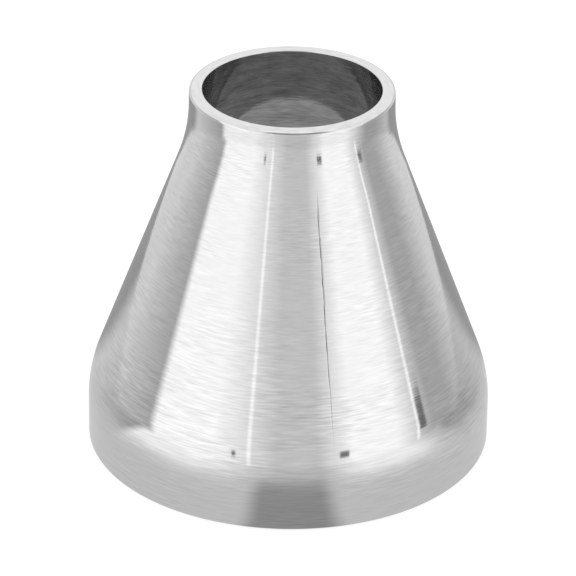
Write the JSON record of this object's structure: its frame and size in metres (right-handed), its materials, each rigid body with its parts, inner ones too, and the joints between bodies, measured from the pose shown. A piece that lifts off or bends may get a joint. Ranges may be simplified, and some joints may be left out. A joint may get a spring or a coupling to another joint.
{
  "type": "concentric reducer",
  "caption": "Thin-wall stainless tube reducer: straight collar, round cone and straight base ring on one axis, with square butt-weld ends and a flush seam weld.",
  "frame": {"origin": "centre of the large end's face", "axes": "+Z along the tube axis from the large end to the small end, -Y towards the front, +X to the right"},
  "size_m": [0.0508, 0.0508, 0.0478],
  "materials": {
    "shell_steel": "polished with fine circumferential brush lines",
    "weld_steel": "weld dressed flush and brushed with the wall"
  },
  "bodies": {
    "root": {"reducer_shell": "shell_steel", "seam_weld": "weld_steel"}
  },
  "joints": []
}
